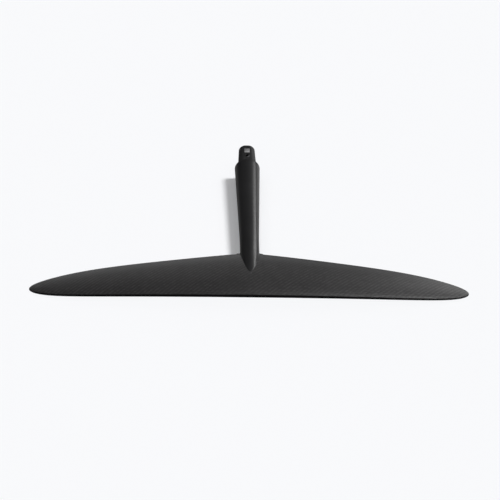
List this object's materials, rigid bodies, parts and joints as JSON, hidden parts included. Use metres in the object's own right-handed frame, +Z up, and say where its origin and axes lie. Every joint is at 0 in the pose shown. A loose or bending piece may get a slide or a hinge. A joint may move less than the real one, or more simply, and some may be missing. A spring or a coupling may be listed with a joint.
{
  "type": "hydrofoil front wing",
  "caption": "Slender carbon hydrofoil front wing with drooped round tips, a flaring fuselage stub behind it and a plug-in tenon with a threaded block.",
  "frame": {"origin": "bottom centre of the bounding box, on the surface that the wing tips and the rear of the fuselage rest on", "axes": "+X along the span to the right tip, +Y from the leading edge back to the tenon, +Z up through the upper surface"},
  "size_m": [0.7296, 0.416, 0.044],
  "materials": {
    "twill_carbon": "matt clear-coated 3K twill carbon laminate",
    "moulded_carbon": "smooth matt moulded carbon",
    "structural_carbon": "unidirectional carbon laminate, as moulded",
    "foam": "closed-cell structural foam",
    "bonding_paste": "cured structural adhesive",
    "stainless_steel": "machined stainless steel"
  },
  "bodies": {
    "root": {"upper_wing_skin": "twill_carbon", "lower_wing_skin": "twill_carbon", "left_wing_tip": "twill_carbon", "right_wing_tip": "twill_carbon", "leading_edge_strip": "structural_carbon", "spar_web": "structural_carbon", "upper_spar_cap": "structural_carbon", "lower_spar_cap": "structural_carbon", "root_block": "structural_carbon", "left_front_core": "foam", "right_front_core": "foam", "left_rear_core": "foam", "right_rear_core": "foam", "left_trailing_edge_filler": "bonding_paste", "right_trailing_edge_filler": "bonding_paste", "upper_fuselage_shell": "moulded_carbon", "lower_fuselage_shell": "moulded_carbon", "shoulder_ring": "moulded_carbon", "tenon": "moulded_carbon", "fuselage_root_plug": "structural_carbon", "fuselage_core": "foam", "upper_fuselage_strap": "structural_carbon", "lower_fuselage_strap": "structural_carbon", "threaded_block": "stainless_steel", "screw_insert": "stainless_steel"}
  },
  "joints": []
}
